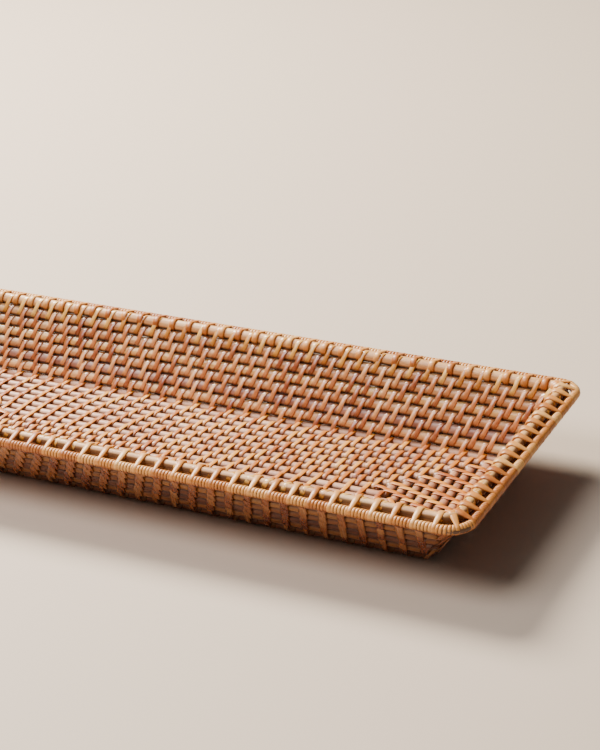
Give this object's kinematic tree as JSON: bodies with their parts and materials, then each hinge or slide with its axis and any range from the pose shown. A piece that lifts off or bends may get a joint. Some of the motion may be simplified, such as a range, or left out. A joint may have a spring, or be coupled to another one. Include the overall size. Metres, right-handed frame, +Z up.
{
  "type": "coiled rattan serving tray",
  "caption": "Long rectangular serving tray of coiled rattan, with a flat base, flared walls, peel bindings between the rods and a closely wrapped rim.",
  "frame": {"origin": "on the table under the middle of the base", "axes": "+X along the tray's length, +Y across it, +Z up"},
  "size_m": [0.44, 0.185, 0.0475],
  "materials": {
    "base_cane": "dry satin cane core, pinkish grey-brown",
    "wall_cane": "satin cane core, tan with a soft sheen",
    "base_peel": "glossy peel, honey orange",
    "wall_peel": "glossy peel, tan to red-brown",
    "rim_peel": "glossy peel, honey cream",
    "filler_cane": "dull cane core, dark brown"
  },
  "bodies": {
    "root": {"base_core_rod": "base_cane", "base_rod_1": "base_cane", "base_strand_1": "base_peel", "base_rod_2": "base_cane", "base_strand_2": "base_peel", "base_rod_3": "base_cane", "base_strand_3": "base_peel", "base_rod_4": "base_cane", "base_strand_4": "base_peel", "base_rod_5": "base_cane", "base_strand_5": "base_peel", "base_rod_6": "base_cane", "base_strand_6": "base_peel", "base_rod_7": "base_cane", "base_strand_7": "base_peel", "base_rod_8": "base_cane", "base_strand_8": "base_peel", "wall_rod_1": "wall_cane", "wall_strand_1": "wall_peel", "wall_rod_2": "wall_cane", "wall_strand_2": "wall_peel", "wall_rod_3": "wall_cane", "wall_strand_3": "wall_peel", "wall_rod_4": "wall_cane", "wall_strand_4": "wall_peel", "wall_rod_5": "wall_cane", "wall_strand_5": "wall_peel", "wall_rod_6": "wall_cane", "wall_strand_6": "wall_peel", "wall_rod_7": "wall_cane", "wall_strand_7": "wall_peel", "rim_core_rod": "wall_cane", "rim_wrapping": "rim_peel", "rim_filler_rod": "filler_cane"}
  },
  "joints": []
}
